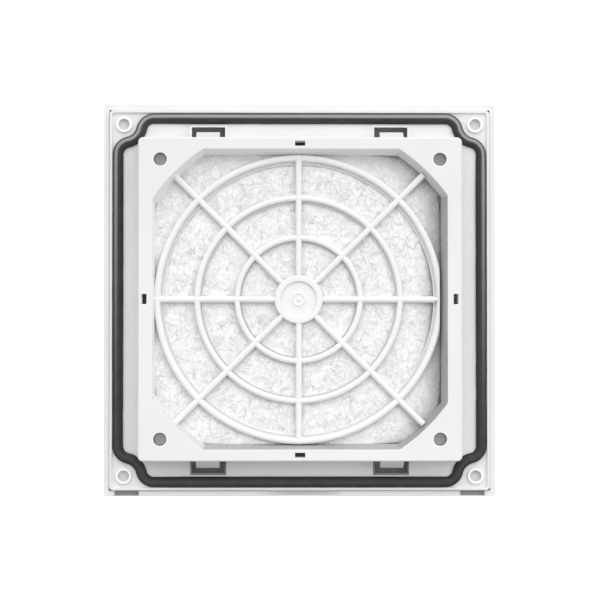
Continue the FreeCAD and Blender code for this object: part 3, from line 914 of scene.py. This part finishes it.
matSizes = {
    "lowX": -53.4,
    "highX": 54.8,
    "sag": (2.4, 0.3, 1.8),
    "sagWidth": (9.0, 4.0, 8.0),
    "sagPower": 1.5,
    "wallRadius": 65.3,
    "wallShift": (12.0, 20.0),
    "half": 54.8,
    "cornerPower": 6.5,
    "front": -4.2,
    "rear": 5.75,
    "edge": 0.9,
    "bulge": 0.9,
    "bulgeWidth": 3.4,
    "lump": 0.07,
    "rows": 210,
    "frontRows": 30,
    "columns": 640,
}


def matOutline(sizes, count):
    # Points of a rounded rectangle, evenly spaced by angle about its middle: a superellipse of a high
    # power, with sides that are all but straight.
    turn = np.linspace(0, 2 * np.pi, count, endpoint=False)
    power = sizes["cornerPower"]
    scale = (np.abs(np.cos(turn)) ** power + np.abs(np.sin(turn)) ** power) ** (-1 / power)
    halfX = (sizes["highX"] - sizes["lowX"]) / 2
    return halfX * scale * np.cos(turn), sizes["half"] * scale * np.sin(turn)


def ribDistance(x, z, sizes):
    # Distance from a point to the middle of the nearest ring or spoke of the guard.
    radius = np.hypot(x - sizes["shift"], z)
    turn = np.arctan2(z, x - sizes["shift"])
    offSpoke = np.abs((turn + np.pi / 8) % (np.pi / 4) - np.pi / 8)
    nearest = radius * np.sin(offSpoke)
    for ring in sizes["ringRadii"]:
        nearest = np.minimum(nearest, np.abs(radius - ring))
    return np.where(radius < sizes["hubRadius"], 0, nearest)


def matHeight(x, z):
    # Rear face: it bulges between the ribs by a bell curve of the distance, with small lumps, and
    # sags towards the walls by a power of the distance: the -X wall, the other walls, the corner cuts.
    sizes = matSizes
    gap = ribDistance(x, z, guardSizes)
    swell = sizes["bulge"] * (1 - np.exp(-((gap / sizes["bulgeWidth"]) ** 2)))
    lumps = sizes["lump"] * waveField(x, z, 11, 110, 2.2, 9.0) * (gap > 0)
    inset = np.minimum(sizes["highX"] - x, sizes["half"] - np.abs(z))
    shift, most = sizes["wallShift"]
    corner = sizes["wallRadius"] - np.hypot(x, z) + np.clip(x + shift, 0, most)
    sag = np.zeros_like(x)
    for side, depth, width in zip((x - sizes["lowX"], inset, corner), sizes["sag"], sizes["sagWidth"]):
        sag = np.maximum(sag, depth * np.clip(1 - side / width, 0, 1) ** sizes["sagPower"])
    return sizes["rear"] + swell * (1 - sag / 3) + lumps - sag


def filterMat(sizes):
    # Rings of points shrink from the outline to the middle on each face, joined by a rounded edge:
    # inset and height follow a quarter circle at each face.
    outX, outZ = matOutline(sizes, sizes["columns"])
    centre = (sizes["highX"] + sizes["lowX"]) / 2
    bend = np.linspace(0, np.pi / 2, 8)[1:-1]
    edge = sizes["edge"]
    half = sizes["half"]
    curveRows = np.concatenate([1 - edge / half + edge / half * np.sin(bend), [1.0]])
    curveDrop = np.concatenate([edge * (1 - np.cos(bend)), [edge]])
    faces = []
    for rows in (sizes["rows"], sizes["frontRows"]):
        faceRows = np.linspace(0.002, 1, rows) * (1 - edge / half)
        scale = np.concatenate([faceRows, curveRows])[:, None]
        drop = np.concatenate([np.zeros_like(faceRows), curveDrop])[:, None]
        faces.append((centre + scale * outX[None, :], scale * outZ[None, :], drop))
    x, z, drop = faces[0]
    top = np.stack([x, matHeight(x, z) - drop, z], axis=-1)
    x, z, drop = faces[1]
    lump = sizes["lump"] * np.abs(waveField(x, z, 12, 60, 4.0, 16.0))
    bottom = np.stack([x, sizes["front"] + drop - lump, z], axis=-1)[::-1]
    return gridPart(np.concatenate([top, bottom]), closedColumns=True)


strandSizes = {
    "count": 10800,
    "points": 4,
    "length": (1.8, 4.6),
    "bow": 0.4,
    "radius": (0.035, 0.065),
    "lift": (0.02, 0.20),
    "arch": 3.2,
    "overhang": 0.7,
    "limitX": (-53.0, 54.5),
    "limitZ": 54.5,
}


def fibreStrands(sizes):
    # Each strand is a bowed line on the mat's rear face: along its chord, off it by a parabola, and
    # lifted by another. A three-sided tube follows it.
    random = np.random.default_rng(21)
    count = sizes["count"]
    steps = np.linspace(-0.5, 0.5, sizes["points"])[None, :]
    spread = matSizes["half"] + sizes["overhang"]
    x = random.uniform(matSizes["lowX"] - sizes["overhang"], matSizes["highX"], count)
    z = random.uniform(-spread, spread, count)
    turn = random.uniform(0, np.pi, count)
    length = random.uniform(*sizes["length"], count)
    bow = random.normal(0, sizes["bow"], count)
    lift = random.uniform(*sizes["lift"], count)
    radius = random.uniform(*sizes["radius"], count)
    chordX = np.cos(turn)[:, None]
    chordZ = np.sin(turn)[:, None]
    off = bow[:, None] * (1 - 4 * steps ** 2)
    lineX = np.clip(x[:, None] + chordX * steps * length[:, None] - chordZ * off, *sizes["limitX"])
    lineZ = z[:, None] + chordZ * steps * length[:, None] + chordX * off
    lineZ = np.clip(lineZ, -sizes["limitZ"], sizes["limitZ"])
    sides = np.minimum(lineX - matSizes["lowX"], matSizes["highX"] - lineX)
    inset = np.minimum(sides, matSizes["half"] - np.abs(lineZ))
    fall = matSizes["edge"] * np.clip(1 - inset / matSizes["edge"], 0, 1) ** 2
    lineY = matHeight(lineX, lineZ) - fall + lift[:, None] * (1 - sizes["arch"] * steps ** 2)
    around = np.linspace(0, 2 * np.pi, 3, endpoint=False)[None, None, :]
    tubeX = lineX[..., None] - chordZ[..., None] * np.cos(around) * radius[:, None, None]
    tubeY = lineY[..., None] + np.sin(around) * radius[:, None, None]
    tubeZ = lineZ[..., None] + chordX[..., None] * np.cos(around) * radius[:, None, None]
    points = np.stack([tubeX, tubeY, tubeZ], axis=-1)
    one = np.arange(sizes["points"] * 3).reshape(sizes["points"], 3)
    ring = np.concatenate([one, one[:, :1]], axis=1)
    corners = [ring[:-1, :-1], ring[:-1, 1:], ring[1:, 1:], ring[1:, :-1]]
    quads = np.stack(corners, axis=-1).reshape(-1, 4)
    starts = (np.arange(count) * sizes["points"] * 3)[:, None, None]
    return points.reshape(-1, 3), (quads[None] + starts).reshape(-1, 4)


mat = meshPiece("filterMat", [filterMat(matSizes)], matFleece)
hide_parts("filter_mat")
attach(mat, "frame")
strands = meshPiece("matFibres", [fibreStrands(strandSizes)], strandMaterial)
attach(strands, "frame")
print("filter mat ready")


# Studio

studio = {
    "floorZ": -130.0,
    "floorHalf": 5000.0,
    "floorEnd": 3000.0,
    "bendStart": -1500.0,
    "bendRadius": 900.0,
    "wallTop": 4000.0,
    "floorTone": (0.93, 0.93, 0.93, 1),
    "floorGlow": 0.6,
    "fill": 0.31,
    "panels": (
        # middle of the panel, cosine where it begins, strength
        ((0.0, 0.707, 0.707), 0.2, 1.54),
        ((0.0, 0.0, -1.0), 0.0, 0.14),
        ((-0.707, 0.707, 0.0), 0.2, 0.10),
        ((0.0, -1.0, 0.0), 0.0, 0.42),
    ),
    "camera": (14.0, 1027.0, -28.0),
    "target": (-0.12, 0.0, 0.0),
    "lens": 162.8,
    "lights": (
        # place, size, power in watts
        ((-900.0, 950.0, 120.0), 420.0, 1.35),
    ),
}


def studioFloor(settings):
    # Floor and back wall in one sweep: flat, then a quarter circle, then upright. The object takes its
    # light from the tent alone, so the sweep is hidden from the light that bounces.
    low = settings["floorZ"]
    bend = np.linspace(0, np.pi / 2, 24)
    radius = settings["bendRadius"]
    start = settings["bendStart"]
    y = np.concatenate([[settings["floorEnd"]], start - radius * np.sin(bend), [start - radius]])
    z = np.concatenate([[low], low + radius * (1 - np.cos(bend)), [settings["wallTop"]]])
    x = np.linspace(-settings["floorHalf"], settings["floorHalf"], 12)
    points = np.stack([
        np.broadcast_to(x[None, :], (len(y), len(x))),
        np.broadcast_to(y[:, None], (len(y), len(x))),
        np.broadcast_to(z[:, None], (len(y), len(x))),
    ], axis=-1)
    material, tree, shader = newMaterial("studioFloor")
    shader.inputs["Base Color"].default_value = settings["floorTone"]
    shader.inputs["Roughness"].default_value = 0.9
    shader.inputs["Specular IOR Level"].default_value = 0.1
    shader.inputs["Emission Color"].default_value = (1, 1, 1, 1)
    shader.inputs["Emission Strength"].default_value = settings["floorGlow"]
    floor = meshPiece("studioFloor", [gridPart(points)], material)
    floor.visible_diffuse = False
    floor.visible_glossy = False
    floor.visible_shadow = False


def studioLights(settings):
    # The tent is an even fill and a sum of soft panels. Each panel's light falls by a smooth step of
    # the cosine between the direction and the panel's middle. The first sum starts from the fill.
    world = bpy.data.worlds.new("softTent")
    world.use_nodes = True
    tree = world.node_tree
    link = tree.links.new
    background = next(node for node in tree.nodes if node.type == "BACKGROUND")
    background.inputs["Color"].default_value = (1, 1, 1, 1)
    where = addNode(tree, "ShaderNodeTexCoord", (-900, 0))
    total = None
    for number, (middle, low, strength) in enumerate(settings["panels"]):
        facing = addNode(tree, "ShaderNodeVectorMath", (-700, -250 * number), operation="DOT_PRODUCT")
        facing.inputs[1].default_value = middle
        glow = addNode(tree, "ShaderNodeMapRange", (-500, -250 * number), interpolation_type="SMOOTHSTEP")
        glow.inputs["From Min"].default_value = low
        glow.inputs["To Max"].default_value = strength
        added = addNode(tree, "ShaderNodeMath", (-250, -250 * number), operation="ADD")
        added.inputs[1].default_value = settings["fill"]
        link(where.outputs["Generated"], facing.inputs[0])
        link(facing.outputs["Value"], glow.inputs["Value"])
        link(glow.outputs["Result"], added.inputs[0])
        if total is not None:
            link(total, added.inputs[1])
        total = added.outputs[0]
    link(total, background.inputs["Strength"])
    bpy.context.scene.world = world
    for number, (place, size, power) in enumerate(settings["lights"]):
        lamp = bpy.data.lights.new(f"softbox{number}", "AREA")
        lamp.size = size * mm
        lamp.energy = power
        holder = bpy.data.objects.new(f"softbox{number}", lamp)
        holder.location = [value * mm for value in place]
        towards = -holder.location
        holder.rotation_euler = towards.to_track_quat("-Z", "Y").to_euler()
        bpy.context.scene.collection.objects.link(holder)


def studioCamera(settings):
    data = bpy.data.cameras.new("rearView")
    data.lens = settings["lens"]
    data.sensor_width = 36.0
    data.clip_start = 0.05
    data.clip_end = 20.0
    camera = bpy.data.objects.new("rearView", data)
    place = Vector(settings["camera"]) * mm
    towards = Vector(settings["target"]) * mm - place
    camera.location = place
    camera.rotation_euler = towards.to_track_quat("-Z", "Y").to_euler()
    bpy.context.scene.collection.objects.link(camera)
    bpy.context.scene.camera = camera


studioFloor(studio)
studioLights(studio)
studioCamera(studio)
bpy.context.scene.view_settings.view_transform = "Standard"
print("studio ready")
